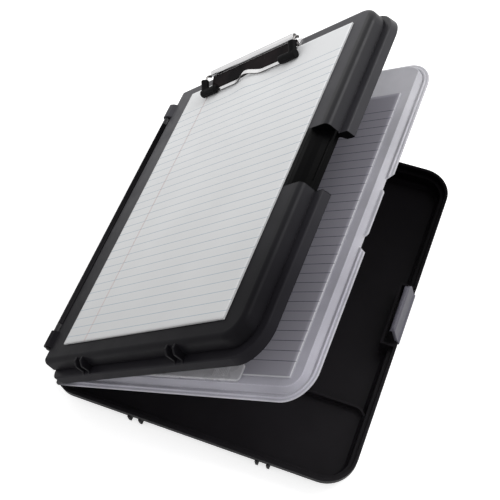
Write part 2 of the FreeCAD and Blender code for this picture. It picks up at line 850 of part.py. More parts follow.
def make_clip_lever():
    """Bent lever: sloping front plate, rolled tube handle along its top, and an ear at each end."""
    half = lever_width / 2
    plate = prism_along_x(lever_section(), clip_x - half, clip_x + half)
    tube = rod_along_x(curl_radius, curl_y(), curl_z(), clip_x - half, clip_x + half)
    body = plate.fuse(tube)
    x_end = clip_x + half + sink
    core = rod_along_x(curl_radius - clip_steel, curl_y(), curl_z(), clip_x - half - sink, x_end)
    section = lever_section()
    ear = [(section[0][0], section[0][1] + clip_steel / 2), (clip_axis_y - lever_ear_radius, clip_axis_z),
           (clip_axis_y + lever_ear_radius, clip_axis_z),
           (curl_y(), curl_z() - curl_radius + clip_steel / 2),
           (section[1][0], section[1][1] + clip_steel / 2)]
    for side in (-1, 1):
        x = clip_x + side * lever_ear_distance / 2 - clip_steel / 2
        body = body.fuse(prism_along_x(ear, x, x + clip_steel))
        body = body.fuse(rod_along_x(lever_ear_radius, clip_axis_y, clip_axis_z, x, x + clip_steel))
        body = body.cut(rod_along_x(clip_pin_radius + running_gap, clip_axis_y, clip_axis_z,
                                    x - sink, x + clip_steel + sink))
    return body.cut(core)


def jaw_path():
    """Middle line of the jaw strip as (x, z) points, with a smooth arch in its middle."""
    z = face_z + jaw_height
    path = [(clip_x - jaw_half_span, z)]
    for step in range(jaw_arch_steps + 1):
        share = step / jaw_arch_steps
        lift = (1 - math.cos(2 * math.pi * share)) / 2
        path.append((clip_x - jaw_arch_half + 2 * jaw_arch_half * share, z + jaw_arch_rise * lift))
    path.append((clip_x + jaw_half_span, z))
    return path


def strip_loop(path, thickness):
    """Closed (x, z) loop around a path, each side half a thickness away along the local normal."""
    upper = []
    lower = []
    befores = path[:1] + path[:-1]
    afters = path[1:] + path[-1:]
    for before, point, after in zip(befores, path, afters):
        run = math.hypot(after[0] - before[0], after[1] - before[1])
        nx = -(after[1] - before[1]) / run * thickness / 2
        nz = (after[0] - before[0]) / run * thickness / 2
        upper.append((point[0] + nx, point[1] + nz))
        lower.append((point[0] - nx, point[1] - nz))
    return upper + lower[::-1]


def jaw_y():
    return clip_axis_y - jaw_front


def jaw_arm_x(side):
    return clip_x + side * (jaw_half_span - jaw_width / 2)


def jaw_strip():
    y0 = jaw_y() - jaw_width / 2
    return prism_along_y(strip_loop(jaw_path(), jaw_steel), y0, y0 + jaw_width)


def jaw_arm_start(side):
    return vec(jaw_arm_x(side), jaw_y(), face_z + jaw_height + jaw_steel / 4)


def make_clip_jaw():
    """Jaw strip across the paper; a wire arm at each end leans back to the lever's tube."""
    body = jaw_strip()
    for side in (-1, 1):
        body = body.fuse(jaw_arm(side))
    return body


def jaw_arm(side):
    """Wire that leans back from the strip, levels out, and turns into the open end of the tube."""
    start = jaw_arm_start(side)
    x = start.x
    x_in = clip_x + side * (lever_width / 2 - jaw_arm_hold)
    y1 = curl_y()
    z1 = curl_z() - curl_radius + clip_steel + jaw_arm_radius
    b = jaw_bend_radius
    points = [start, start.add(vec(0, jaw_arm_reach, jaw_arm_rise)),
              start.add(vec(0, jaw_arm_reach + jaw_arm_top, jaw_arm_rise))]
    for angle in jaw_bend_angles:
        points.append(vec(x - side * b * (1 - math.cos(angle)), y1 - b * (1 - math.sin(angle)), z1))
    points.append(vec(x_in, y1, z1))
    return swept_wire(points, jaw_arm_radius)


def swept_wire(points, radius):
    """Solid wire along straight runs, mitred where they meet."""
    start = points[0]
    ring = Part.makePolygon(ring_points(start, points[1].sub(start), radius))
    mitred = 1
    return Part.makePolygon(points).makePipeShell([ring], True, False, mitred)


def ring_points(center, along, radius):
    """Closed loop of points around a center, square to a direction."""
    turn = FreeCAD.Rotation(vec(0, 0, 1), along)
    points = []
    for step in range(wire_sides + 1):
        angle = 2 * math.pi * step / wire_sides
        points.append(center.add(turn.multVec(vec(radius * math.cos(angle), radius * math.sin(angle), 0))))
    return points


def boot_foot(start, length):
    """Round rod along the strip, beveled at its inner end."""
    along = vec(1, 0, 0)
    straight = length - boot_end_bevel
    rod = Part.makeCylinder(boot_foot_radius, straight, start, along)
    end_radius = boot_foot_radius - boot_end_bevel
    bevel_start = start.add(vec(straight, 0, 0))
    return rod.fuse(Part.makeCone(boot_foot_radius, end_radius, boot_end_bevel, bevel_start, along))


def make_clip_boot(side):
    """Rubber boot on one end of the jaw: a foot around the strip and a leg around the arm."""
    x = jaw_arm_x(-1)
    z = face_z + stack_height + seam_gap + boot_foot_radius
    corner = vec(x, jaw_y(), z)
    foot_start = vec(x - boot_foot_radius, jaw_y(), z)
    foot = boot_foot(foot_start, boot_foot_length + boot_foot_radius)
    lean = vec(0, jaw_arm_reach, jaw_arm_rise)
    leg = Part.makeCylinder(boot_leg_radius, boot_leg_length, corner, lean)
    bore = Part.makeCylinder(jaw_arm_radius, lean.Length, jaw_arm_start(-1), lean)
    boot = foot.fuse(leg).cut(jaw_strip()).cut(bore)
    if side > 0:
        boot = boot.mirror(vec(clip_x, 0, 0), vec(1, 0, 0))
    return boot


def make_clip_spring():
    """Coil spring around the axle, one leg back on the base plate, the other up under the lever plate."""
    pitch = 2 * spring_wire_radius + running_gap
    x0 = clip_x - pitch * spring_turns / 2
    steps = spring_turns * spring_turn_steps + spring_last_steps
    points = [vec(x0, clip_axis_y + spring_base_leg, face_z + clip_steel + spring_wire_radius)]
    for step in range(steps + 1):
        turn = 2 * math.pi * step / spring_turn_steps
        y = clip_axis_y - spring_coil_radius * math.sin(turn)
        z = clip_axis_z - spring_coil_radius * math.cos(turn)
        points.append(vec(x0 + pitch * step / spring_turn_steps, y, z))
    end = points[-1]
    last_turn = 2 * math.pi * spring_last_steps / spring_turn_steps
    y = end.y - spring_lever_leg * math.cos(last_turn)
    z = end.z + spring_lever_leg * math.sin(last_turn)
    points.append(vec(end.x, y, z))
    return swept_wire(points, spring_wire_radius)


def main():
    save("tray_shell", make_tray())
    save("hinge_pin_front", make_hinge_pin(-1))
    save("hinge_pin_back", make_hinge_pin(1))
    save("latch_pin", make_latch_pin())
    save("latch_lever", make_latch())
    save("divider_panel", on_divider(make_divider()))
    save("sheet_retainer", on_divider(make_retainer()))
    save("filed_sheet_stack", on_divider(make_filler_stack()))
    save("filed_top_sheet", on_divider(make_filler_top()))
    save("cover_shell", on_cover(make_cover()))
    save("writing_sheet_stack", on_cover(make_writing_stack()))
    save("writing_top_sheet", on_cover(make_writing_top()))
    save("clip_base", on_cover(make_clip_base()))
    save("clip_rivet_left", on_cover(make_clip_rivet(-1)))
    save("clip_rivet_right", on_cover(make_clip_rivet(1)))
    save("clip_pin", on_cover(make_clip_pin()))
    save("clip_spring", on_cover(make_clip_spring()))
    save("clip_lever", on_cover(make_clip_lever()))
    save("clip_jaw", on_cover(make_clip_jaw()))
    save("clip_boot_left", on_cover(make_clip_boot(-1)))
    save("clip_boot_right", on_cover(make_clip_boot(1)))


main()
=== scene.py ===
import math

import bmesh
import bpy
from mathutils import Matrix, Vector


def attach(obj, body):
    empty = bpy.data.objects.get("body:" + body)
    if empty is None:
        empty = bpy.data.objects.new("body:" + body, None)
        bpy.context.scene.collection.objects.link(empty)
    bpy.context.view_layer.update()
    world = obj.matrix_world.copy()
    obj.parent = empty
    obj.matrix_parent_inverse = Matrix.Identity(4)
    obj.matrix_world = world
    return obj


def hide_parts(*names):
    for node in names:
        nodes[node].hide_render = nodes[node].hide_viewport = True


# Storage clipboard box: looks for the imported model. Everything is in metres, in the frame of the model,
# apart from the places in a lid's own frame: X from the hinge axis, Y along it, Z out of the upper face.

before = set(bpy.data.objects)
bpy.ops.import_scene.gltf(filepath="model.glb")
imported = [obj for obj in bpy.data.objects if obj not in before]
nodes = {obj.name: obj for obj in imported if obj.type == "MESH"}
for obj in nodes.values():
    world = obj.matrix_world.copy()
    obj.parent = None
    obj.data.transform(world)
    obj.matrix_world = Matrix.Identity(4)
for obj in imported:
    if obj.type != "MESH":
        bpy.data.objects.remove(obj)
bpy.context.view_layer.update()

# Lids and sheets, as in the model
hinge_point = Vector((-0.14125, 0.0, 0.0428))
cover_angle = math.radians(44.1)
divider_angle = math.radians(32.7)
face_height = 0.001
sheet_from_hinge = 0.0295
sheet_front = -0.137
sheet_width = 0.2159
sheet_length = 0.2794
stack_height = 0.0012
filler_from_hinge = 0.053
filler_front = -0.1435
filler_width = 0.2032
filler_length = 0.2667
filler_low = -0.0163
filler_height = 0.0013
top_sheet_height = 0.00012

# Clip, as in the model; an arm's lean and top are given as (Y from the jaw, Z)
clip_from_hinge = 0.1248
jaw_y = 0.1277
curl_y = 0.1475
curl_height = 0.0100
curl_radius = 0.0031
tube_inner_radius = 0.0022
tube_length = 0.113
jaw_arm_out = 0.0605
jaw_arm_hold = 0.006
jaw_wire_part = 0.0065
jaw_arm_low = 0.0046
jaw_arm_lean = (0.0122, 0.0120)
jaw_arm_top = (0.0160, 0.0122)
jaw_arm_in_tube = 0.0088
jaw_wire_radius = 0.00088
jaw_wire_sides = 14

# Inner turn of the clip's rolled handle
roll_turns = 1.35
roll_steps = 40
roll_thickness = 0.00045
roll_inset = 0.0006
roll_gap = 0.00002
roll_inward = 0.0009

# Boots, rounded off
boot_voxel = 0.00035
boot_relax_steps = 14

# Cover: places of the painted shading, on the scoop beside the latch, the domed edge and the ledge above the
# skirt
scoop_from_hinge = 0.2445
scoop_y = 0.004
scoop_half = 0.0272
scoop_before = 0.008
scoop_after = 0.003
scoop_blur = 0.0004
dome_from_hinge = 0.2592
dome_blur = 0.0012
dome_side_from_hinge = 0.2662
ledge_height = -0.01240
ledge_blur = 0.0008

# Bulge of the writing sheet under the jaw's arch, and the faint waves of both top sheets
bump_x = clip_from_hinge - sheet_from_hinge
bump_y = jaw_y - sheet_front - 0.004
bump_width = 0.014
bump_length = 0.010
bump_height = 0.0040
sheet_wave = 0.00012
sheet_grid = (96, 120)
filler_grid = (60, 80)

# Ruled lines on the paper
line_pitch = 0.00875
line_width = 0.00042
sheet_top_margin = 0.0278
side_margin = 0.0335
side_line_gap = 0.0011
side_line_width = 0.00042
filler_line_pitch = 0.0084
filler_top_margin = 0.0186
foot_share = 0.6
rim_width = 0.0010
rim_blur = 0.0006

# Finish
# Places along Y between which painted shading runs, from a piece's front end to its clip end
painted_shading_front = -0.13
painted_shading_back = 0.15
# Strip along X by the hinge over which the painted shade on the milky plastic fades out
hinge_painted_shade_strip = (-0.126, -0.096)
noise_span = (0.3, 0.7)
flow_scale = 22.0
smudge_scale = 60.0
grain_scale = 2600.0
grain_depth = 0.00004
edge_rub = 1.5
milky_transmission = 0.10
milky_scatter = 0.55
milky_depth = 0.006
milky_ior = 1.46
paper_fibre_scale = 900.0
paper_cloud_scale = 14.0
paper_fibre_depth = 0.00004
stack_fibre_scale = 1500.0
stack_fibre_depth = 0.00005
haze_scale = 120.0
hairline_scale = (60.0, 2600.0, 2600.0)
hairline_depth = 0.00002
metal_edge = 0.0002
# Size of the patches in the painted reflection on the lever's plate
plate_mottle_scale = 45.0
dust_scale = 240.0
skin_scale = 3800.0
skin_depth = 0.00004
rubber_edge = 0.0006

# Painted shading and painted light on the cover's edge: how much of the cover's colour is kept on parts of
# it, at the front and at the clip end
dome_painted_shading = (0.85, 0.28)
dome_side_painted_shading = (1.2, 0.50)
skirt_painted_shading = (1.7, 0.60)
# Painted dark reflection in the scoop: how much of the cover's colour and shine is kept there
scoop_painted_shade = 0.05
scoop_shine = 0.3

# Colours, as reflectances; front and back stand for a piece's front end and its clip end, and the change
# from one to the other is painted shading
cover_front_colour = (0.0085, 0.0080, 0.0098, 1)
cover_back_colour = (0.046, 0.045, 0.052, 1)
tray_front_colour = (0.0100, 0.0090, 0.0105, 1)
tray_back_colour = (0.0022, 0.0018, 0.0024, 1)
latch_front_colour = (0.078, 0.075, 0.095, 1)
latch_back_colour = (0.095, 0.092, 0.112, 1)
frost_front_colour = (0.455, 0.446, 0.51, 1)
frost_back_colour = (0.53, 0.525, 0.57, 1)
retainer_colour = (0.62, 0.61, 0.66, 1)
# Painted shade on the milky plastic by the hinge
hinge_painted_shade_colour = (0.010, 0.009, 0.011, 1)
# Painted highlight on the filed sheet's front and latch-side edges
painted_rim_highlight = (0.70, 0.70, 0.74, 1)
# Writing sheet: painted shade at its front end, lighter toward the clip end
paper_front_colour = (0.66, 0.665, 0.67, 1)
paper_back_colour = (0.93, 0.94, 0.95, 1)
# Filed sheet: painted shade from the cover over the white paper and its rules, darkest on the hinge side
filler_hinge_painted_shade = (0.215, 0.21, 0.243, 1)
filler_latch_painted_shade = (0.345, 0.335, 0.385, 1)
line_colour = (0.30, 0.40, 0.48, 1)
side_line_colour = (0.56, 0.40, 0.38, 1)
filler_line_colour = (0.022, 0.022, 0.045, 1)
chrome_colour = (0.90, 0.90, 0.91, 1)
chrome_dull = (0.78, 0.77, 0.77, 1)
wire_colour = (0.42, 0.41, 0.40, 1)
wire_dull = (0.22, 0.21, 0.21, 1)
# Pins: a plain dark colour
pin_colour = (0.020, 0.019, 0.020, 1)
pin_dull = (0.008, 0.008, 0.008, 1)
# Painted shade on the jaw strip's front edge
strip_edge_painted_shade = (0.05, 0.045, 0.045, 1)
# Painted dark reflection on the lever's plate, in darker and lighter patches
plate_painted_reflection = (0.0045, 0.0040, 0.0045, 1)
plate_painted_reflection_light = (0.017, 0.012, 0.013, 1)
rubber_colour = (0.0022, 0.0022, 0.0024, 1)
rubber_dusty = (0.0050, 0.0050, 0.0055, 1)
floor_colour = (0.90, 0.90, 0.90, 1)
white = (1, 1, 1, 1)

# Studio
floor_half = 4.0
floor_glow = 0.56
world_strength = 0.72
key_power = 18.0
key_size = 1.4
key_place = Vector((0.9, 1.1, 1.7))
aim_point = Vector((-0.02, 0.0, 0.08))

# Camera at the photograph's angle, solved from the sheet's corners and the box's edges
camera_place = Vector((0.19015, -0.40720, 0.82590))
camera_right = Vector((0.9326, 0.3572, -0.0518))
camera_down = Vector((0.2834, -0.8135, -0.5078))
camera_ahead = Vector((-0.2236, 0.4588, -0.8599))
camera_lens = 73.46
camera_sensor = 36.0
camera_clip = (0.01, 20.0)


# Node helpers

def new_material(name):
    material = bpy.data.materials.new(name)
    material.use_nodes = True
    tree = material.node_tree
    return material, tree, tree.nodes["Principled BSDF"]


def add_noise(tree, scale, detail, source):
    noise = tree.nodes.new("ShaderNodeTexNoise")
    noise.inputs["Scale"].default_value = scale
    noise.inputs["Detail"].default_value = detail
    tree.links.new(source, noise.inputs["Vector"])
    return noise.outputs["Fac"]


def feed(tree, socket, value):
    """Gives a socket a plain number or colour, or links another socket to it."""
    if isinstance(value, (int, float, tuple)):
        socket.default_value = value
    else:
        tree.links.new(value, socket)


def add_mix(tree, factor, colour_a, colour_b):
    """Mixes two colours; each may be a plain colour or a socket."""
    mix = tree.nodes.new("ShaderNodeMix")
    mix.data_type = "RGBA"
    tree.links.new(factor, mix.inputs["Factor"])
    feed(tree, mix.inputs[6], colour_a)
    feed(tree, mix.inputs[7], colour_b)
    return mix.outputs[2]


def add_math(tree, operation, *values):
    node = tree.nodes.new("ShaderNodeMath")
    node.operation = operation
    for socket, value in zip(node.inputs, values):
        feed(tree, socket, value)
    return node.outputs[0]


def add_brightness(tree, colour, factor):
    """Colour times a factor; the colour may be plain or a socket."""
    scale = tree.nodes.new("ShaderNodeVectorMath")
    scale.operation = "SCALE"
    feed(tree, scale.inputs[0], colour[:3] if isinstance(colour, tuple) else colour)
    tree.links.new(factor, scale.inputs["Scale"])
    return scale.outputs[0]


def add_range(tree, value, low, high, to_low, to_high):
    node = tree.nodes.new("ShaderNodeMapRange")
    tree.links.new(value, node.inputs["Value"])
    for name, number in (("From Min", low), ("From Max", high), ("To Min", to_low), ("To Max", to_high)):
        node.inputs[name].default_value = number
    return node.outputs[0]


def along_share(tree, share, at_zero, at_one):
    """Plain numbers given to the two ends of a share from 0 to 1."""
    return add_range(tree, share, 0.0, 1.0, at_zero, at_one)


def vary(tree, noise, low, high):
    """Spreads the middle values of a noise between two numbers."""
    return add_range(tree, noise, *noise_span, low, high)


def blend(tree, share, a, b):
    """Number a where the share is 0, b where it is 1; each may be plain or a socket."""
    change = add_math(tree, "MULTIPLY", add_math(tree, "SUBTRACT", b, a), share)
    return add_math(tree, "ADD", change, a)


def step_at(tree, value, place, blur):
    """0 before a place, 1 after it."""
    return add_range(tree, value, place - blur, place + blur, 0.0, 1.0)


def add_bump(tree, height, strength, distance, normal=None):
    bump = tree.nodes.new("ShaderNodeBump")
    bump.inputs["Strength"].default_value = strength
    bump.inputs["Distance"].default_value = distance
    tree.links.new(height, bump.inputs["Height"])
    if normal is not None:
        tree.links.new(normal, bump.inputs["Normal"])
    return bump.outputs["Normal"]


def add_soft_edges(tree, radius):
    bevel = tree.nodes.new("ShaderNodeBevel")
    bevel.samples = 4
    bevel.inputs["Radius"].default_value = radius
    return bevel.outputs["Normal"]


def object_place(tree):
    """Place in the model's frame at rest; it stays with the piece in every pose."""
    return tree.nodes.new("ShaderNodeTexCoord").outputs["Object"]


def split(tree, vector):
    parts = tree.nodes.new("ShaderNodeSeparateXYZ")
    tree.links.new(vector, parts.inputs[0])
    return parts.outputs


def along_box(tree, axis, low, high):
    """0 to 1 between two places along one axis of the model's frame."""
    node = tree.nodes.new("ShaderNodeMapRange")
    node.interpolation_type = "SMOOTHSTEP"
    tree.links.new(split(tree, object_place(tree))[axis], node.inputs["Value"])
    node.inputs["From Min"].default_value = low
    node.inputs["From Max"].default_value = high
    return node.outputs[0]


def lid_place(tree, angle):
    """Coordinates in a lid's own frame: X from the hinge, Y along it, Z out of its upper face."""
    mapping = tree.nodes.new("ShaderNodeMapping")
    mapping.inputs["Rotation"].default_value = (0.0, angle, 0.0)
    mapping.inputs["Location"].default_value = -(Matrix.Rotation(angle, 3, "Y") @ hinge_point)
    tree.links.new(object_place(tree), mapping.inputs["Vector"])
    return split(tree, mapping.outputs["Vector"])


def edge_wear(tree, soft_normal):
    """1 along rounded edges, 0 on flat faces: how far the softened normal leaves the face's own."""
    geometry = tree.nodes.new("ShaderNodeNewGeometry")
    dot = tree.nodes.new("ShaderNodeVectorMath")
    dot.operation = "DOT_PRODUCT"
    tree.links.new(soft_normal, dot.inputs[0])
    tree.links.new(geometry.outputs["Normal"], dot.inputs[1])
    return add_range(tree, dot.outputs["Value"], 0.995, 0.90, 0.0, 1.0)


# Materials

def moulded_plastic(name, front_colour, back_colour, roughness, front_shine, back_shine, edge_radius=0.0005):
    """Injection-moulded plastic: fine spark grain, faint flow marks, rubbed edges, and painted shading, as
    colour and shine change from the front end to the clip end.
    """
    material, tree, shader = new_material(name)
    place = object_place(tree)
    cloud = add_noise(tree, flow_scale, 4.0, place)
    grain = add_noise(tree, grain_scale, 2.0, place)
    smudge = add_noise(tree, smudge_scale, 6.0, place)
    soft = add_soft_edges(tree, edge_radius)
    # Painted shading and painted reflection: colour and shine change from the front end to the clip end
    toward_back = along_box(tree, "Y", painted_shading_front, painted_shading_back)
    base = add_mix(tree, toward_back, front_colour, back_colour)
    flow = vary(tree, cloud, 0.88, 1.12)
    base = add_brightness(tree, base, flow)
    worn = add_brightness(tree, base, along_share(tree, edge_wear(tree, soft), 1.0, edge_rub))
    tree.links.new(worn, shader.inputs["Base Color"])
    even = front_shine == back_shine
    shine = front_shine if even else along_share(tree, toward_back, front_shine, back_shine)
    feed(tree, shader.inputs["Specular IOR Level"], shine)
    rough = vary(tree, smudge, roughness - 0.05, roughness + 0.07)
    tree.links.new(rough, shader.inputs["Roughness"])
    tree.links.new(add_bump(tree, grain, 0.35, grain_depth, soft), shader.inputs["Normal"])
    return material


def frosted_plastic(name, front_colour, back_colour, roughness):
    """Milky sheet plastic: light spreads inside it and a little passes through; painted shade darkens it by
    the hinge.
    """
    material = moulded_plastic(name, front_colour, back_colour, roughness,
                               front_shine=0.3, back_shine=0.4, edge_radius=0.0016)
    tree = material.node_tree
    shader = tree.nodes["Principled BSDF"]
    milky = shader.inputs["Base Color"].links[0].from_socket
    # Painted shade by the hinge, fading out across the strip
    past_hinge_shade = along_box(tree, "X", *hinge_painted_shade_strip)
    tree.links.new(add_mix(tree, past_hinge_shade, hinge_painted_shade_colour, milky), shader.inputs["Base Color"])
    shader.inputs["Transmission Weight"].default_value = milky_transmission
    shader.inputs["Subsurface Weight"].default_value = milky_scatter
    shader.inputs["Subsurface Radius"].default_value = (1.0, 1.0, 1.0)
    shader.inputs["Subsurface Scale"].default_value = milky_depth
    shader.inputs["IOR"].default_value = milky_ior
    return material


def scooped_plastic(name, front_colour, back_colour, roughness):
    """Cover plastic: painted shading and painted light on the domed edge and the skirt, and a painted dark
    reflection in the polished scoop.
    """
    material = moulded_plastic(name, front_colour, back_colour, roughness, front_shine=0.04, back_shine=0.24)
    tree = material.node_tree
    shader = tree.nodes["Principled BSDF"]
    x, y, z = lid_place(tree, cover_angle)
    toward_back = along_box(tree, "Y", painted_shading_front, painted_shading_back)
    domed = step_at(tree, x, dome_from_hinge, dome_blur)
    upright = step_at(tree, x, dome_side_from_hinge, ledge_blur)
    skirt = add_range(tree, z, ledge_height, ledge_height + ledge_blur, 1.0, 0.0)
    # Painted shading and painted light on the domed edge, its upright side and the skirt
    shade = 1.0
    for part, ends in ((domed, dome_painted_shading), (upright, dome_side_painted_shading), (skirt, skirt_painted_shading)):
        shade = blend(tree, part, shade, along_share(tree, toward_back, *ends))
    # Painted dark reflection in the scoop: darker colour and less shine
    across = add_math(tree, "ABSOLUTE", add_math(tree, "SUBTRACT", y, scoop_y))
    beside = add_range(tree, x, scoop_from_hinge - scoop_before, scoop_from_hinge + scoop_after, 0.0, 1.0)
    within = add_range(tree, across, scoop_half, scoop_half + scoop_blur, 1.0, 0.0)
    in_scoop = add_math(tree, "MULTIPLY", beside, within)
    base = add_brightness(tree, shader.inputs["Base Color"].links[0].from_socket, shade)
    base = add_brightness(tree, base, along_share(tree, in_scoop, 1.0, scoop_painted_shade))
    tree.links.new(base, shader.inputs["Base Color"])
    shine = shader.inputs["Specular IOR Level"]
    kept_shine = along_share(tree, in_scoop, 1.0, scoop_shine)
    tree.links.new(add_math(tree, "MULTIPLY", shine.links[0].from_socket, kept_shine), shine)
    return material


def printed(tree, distance, width):
    """1 on a line of this width, 0 beside it, with a soft edge; distance is from its middle."""
    return add_range(tree, distance, width * 0.3, width * 0.7, 1.0, 0.0)


def ruled_ink(tree, y, pitch, top_margin, length, fibre):
    """1 on a printed rule, 0 beside it; y is the place along the sheet in metres."""
    down = add_math(tree, "SUBTRACT", length - top_margin, y)
    phase = add_math(tree, "PINGPONG", down, pitch / 2)
    ink = printed(tree, phase, line_width)
    started = add_math(tree, "GREATER_THAN", down, -line_width)
    above_foot = add_math(tree, "GREATER_THAN", y, pitch * foot_share)
    ink = add_math(tree, "MULTIPLY", add_math(tree, "MULTIPLY", ink, started), above_foot)
    return add_math(tree, "MULTIPLY", ink, add_range(tree, fibre, 0.25, 0.6, 0.7, 1.0))


def side_ink(tree, x):
    """1 on either line of the double margin rule."""
    from_middle = add_math(tree, "ABSOLUTE", add_math(tree, "SUBTRACT", x, side_margin))
    from_line = add_math(tree, "ABSOLUTE", add_math(tree, "SUBTRACT", from_middle, side_line_gap / 2))
    return printed(tree, from_line, side_line_width)


def rim_light(tree, parts, width):
    """1 on the front and latch-side edges of a sheet, where a painted highlight stands for light caught by
    the milky pocket.
    """
    at_front = add_range(tree, parts["Y"], rim_width - rim_blur, rim_width, 1.0, 0.0)
    at_latch = add_range(tree, parts["X"], width - rim_width, width - rim_width + rim_blur, 0.0, 1.0)
    return add_math(tree, "MAXIMUM", at_front, at_latch)


def ruled_paper(name, colours, painted_shading_axis, painted_shading_length, lines, pitch, top_margin, length, has_margin):
    """Uncoated paper with printed rules and painted shading from one end to the other; the sheet's UV holds
    metres from its lower hinge-side corner.
    """
    material, tree, shader = new_material(name)
    parts = split(tree, tree.nodes.new("ShaderNodeTexCoord").outputs["UV"])
    place = object_place(tree)
    fibre = add_noise(tree, paper_fibre_scale, 6.0, place)
    cloud = add_noise(tree, paper_cloud_scale, 3.0, place)
    # Painted shading: the colour runs from the first colour to the second along one axis of the sheet
    sheet_painted_shading = add_range(tree, parts[painted_shading_axis], 0.0, painted_shading_length, 0.0, 1.0)
    base = add_mix(tree, sheet_painted_shading, colours[0], colours[1])
    base = add_brightness(tree, base, vary(tree, cloud, 0.975, 1.025))
    if has_margin:
        base = add_mix(tree, side_ink(tree, parts["X"]), base, side_line_colour)
    else:
        # Painted highlight along the sheet's front and latch-side edges
        base = add_mix(tree, rim_light(tree, parts, painted_shading_length), base, painted_rim_highlight)
    ink = ruled_ink(tree, parts["Y"], pitch, top_margin, length, fibre)
    tree.links.new(add_mix(tree, ink, base, lines), shader.inputs["Base Color"])
    tree.links.new(vary(tree, fibre, 0.82, 0.95), shader.inputs["Roughness"])
    tree.links.new(add_bump(tree, fibre, 0.25, paper_fibre_depth), shader.inputs["Normal"])
    shader.inputs["Specular IOR Level"].default_value = 0.2
    return material


def paper_edge(name, colour):
    """Side of a stack of sheets, roughened by their cut edges."""
    material, tree, shader = new_material(name)
    fibre = add_noise(tree, stack_fibre_scale, 4.0, object_place(tree))
    shade = add_brightness(tree, colour, vary(tree, fibre, 0.8, 1.0))
    tree.links.new(shade, shader.inputs["Base Color"])
    tree.links.new(vary(tree, fibre, 0.85, 0.95), shader.inputs["Roughness"])
    tree.links.new(add_bump(tree, fibre, 0.4, stack_fibre_depth), shader.inputs["Normal"])
    return material


def hairlines(tree, place):
    """Noise drawn out along X, for polishing marks."""
    stretch = tree.nodes.new("ShaderNodeMapping")
    stretch.inputs["Scale"].default_value = hairline_scale
    tree.links.new(place, stretch.inputs["Vector"])
    return add_noise(tree, 1.0, 3.0, stretch.outputs["Vector"])


def plated_metal(name, colour, dull_colour, roughness):
    """Bright plated steel with hairline polishing marks, a dulled haze and softened edges."""
    material, tree, shader = new_material(name)
    place = object_place(tree)
    haze = add_noise(tree, haze_scale, 5.0, place)
    soft = add_soft_edges(tree, metal_edge)
    tree.links.new(add_mix(tree, haze, colour, dull_colour), shader.inputs["Base Color"])
    shader.inputs["Metallic"].default_value = 1.0
    tree.links.new(vary(tree, haze, roughness, roughness + 0.12), shader.inputs["Roughness"])
    polished = add_bump(tree, hairlines(tree, place), 0.08, hairline_depth, soft)
    tree.links.new(polished, shader.inputs["Normal"])
    return material


def lever_metal(name):
    """Lever of the clip: bright rolled handle, and a plate below it with a painted dark reflection, mottled
    darker and lighter.
    """
    material = plated_metal(name, chrome_colour, chrome_dull, roughness=0.16)
    tree = material.node_tree
    shader = tree.nodes["Principled BSDF"]
    place = lid_place(tree, cover_angle)
    across = add_math(tree, "SUBTRACT", place["Y"], curl_y)
    above = add_math(tree, "SUBTRACT", place["Z"], curl_height)
    squares = [add_math(tree, "MULTIPLY", leg, leg) for leg in (across, above)]
    reach = add_math(tree, "SQRT", add_math(tree, "ADD", *squares))
    plate = add_range(tree, reach, curl_radius * 1.01, curl_radius * 1.05, 0.0, 1.0)
    # Painted dark reflection on the plate below the rolled handle, mottled darker and lighter
    plate_mottle = add_noise(tree, plate_mottle_scale, 3.0, object_place(tree))
    dark = add_mix(tree, add_range(tree, plate_mottle, 0.35, 0.65, 0.0, 1.0), plate_painted_reflection, plate_painted_reflection_light)
    bright = shader.inputs["Base Color"].links[0].from_socket
    tree.links.new(add_mix(tree, plate, bright, dark), shader.inputs["Base Color"])
    tree.links.new(along_share(tree, plate, 1.0, 0.0), shader.inputs["Metallic"])
    tree.links.new(along_share(tree, plate, 0.5, 0.03), shader.inputs["Specular IOR Level"])
    return material


def jaw_metal(name):
    """Jaw of the clip: bright strip with painted shade on its front edge, duller drawn wire at its two ends.
    """
    material = plated_metal(name, chrome_colour, chrome_dull, roughness=0.18)
    tree = material.node_tree
    shader = tree.nodes["Principled BSDF"]
    x = lid_place(tree, cover_angle)["X"]
    from_middle = add_math(tree, "ABSOLUTE", add_math(tree, "SUBTRACT", x, clip_from_hinge))
    half = tube_length / 2
    wire = add_range(tree, from_middle, half - jaw_wire_part, half - jaw_arm_hold, 0.0, 1.0)
    bright = shader.inputs["Base Color"].links[0].from_socket
    # Painted shade on the faces that look toward the front
    facing = split(tree, tree.nodes.new("ShaderNodeTexCoord").outputs["Normal"])
    front_edge = add_range(tree, facing["Y"], -0.85, -0.6, 1.0, 0.0)
    strip = add_mix(tree, front_edge, bright, strip_edge_painted_shade)
    tree.links.new(add_mix(tree, wire, strip, wire_dull), shader.inputs["Base Color"])
    return material


def soft_rubber(name, colour, dusty_colour):
    """Matt black rubber with a fine skin and dust on it."""
    material, tree, shader = new_material(name)
    place = object_place(tree)
    dust = add_noise(tree, dust_scale, 6.0, place)
    skin = add_noise(tree, skin_scale, 2.0, place)
    tree.links.new(add_mix(tree, dust, colour, dusty_colour), shader.inputs["Base Color"])
    tree.links.new(vary(tree, dust, 0.45, 0.65), shader.inputs["Roughness"])
    bumpy = add_bump(tree, skin, 0.3, skin_depth, add_soft_edges(tree, rubber_edge))
    tree.links.new(bumpy, shader.inputs["Normal"])
    shader.inputs["Specular IOR Level"].default_value = 0.08
    return material


